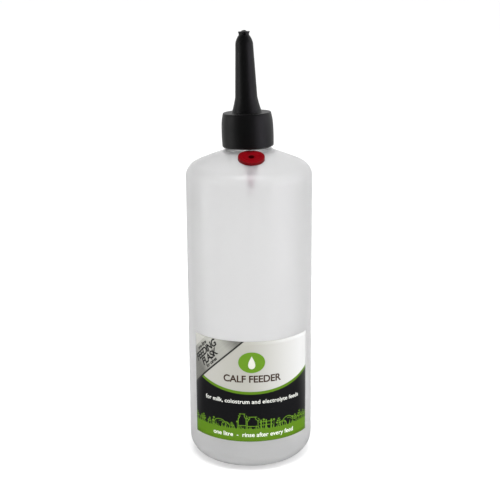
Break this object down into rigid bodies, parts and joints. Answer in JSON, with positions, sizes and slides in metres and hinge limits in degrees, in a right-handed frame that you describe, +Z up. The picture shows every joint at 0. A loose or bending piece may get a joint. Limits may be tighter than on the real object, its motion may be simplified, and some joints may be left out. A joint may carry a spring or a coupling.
{
  "type": "calf feeding bottle",
  "caption": "Tall round squeeze bottle of milky plastic with a pull-on tapered black rubber teat, a red air valve in its shoulder and a wrapped front label.",
  "frame": {"origin": "centre of the ring that the bottle stands on", "axes": "+Z up along the bottle's axis, -Y towards the label and the air valve, +X to the right of the label"},
  "size_m": [0.086, 0.0861, 0.298],
  "materials": {
    "natural_polyethylene": "satin, milky translucent",
    "black_rubber": "satin moulded rubber",
    "red_rubber": "satin moulded rubber",
    "printed_film": "gloss printed film"
  },
  "bodies": {
    "bottle": {"bottle": "natural_polyethylene", "front_label": "printed_film"},
    "teat": {"teat": "black_rubber"},
    "air_valve": {"air_valve": "red_rubber"}
  },
  "joints": [
    {"name": "teat_pull_off", "type": "slide", "parent": "bottle", "child": "teat", "axis": [0, 0, 1], "range_m": [0, 0.04]},
    {"name": "valve_pull_out", "type": "slide", "parent": "bottle", "child": "air_valve", "axis": [0.0271, -0.3524, 0.9355], "range_m": [0, 0.03]}
  ],
  "couplings": [
    {"joint": "valve_pull_out", "follows": "teat_pull_off", "ratio": 0.75}
  ]
}
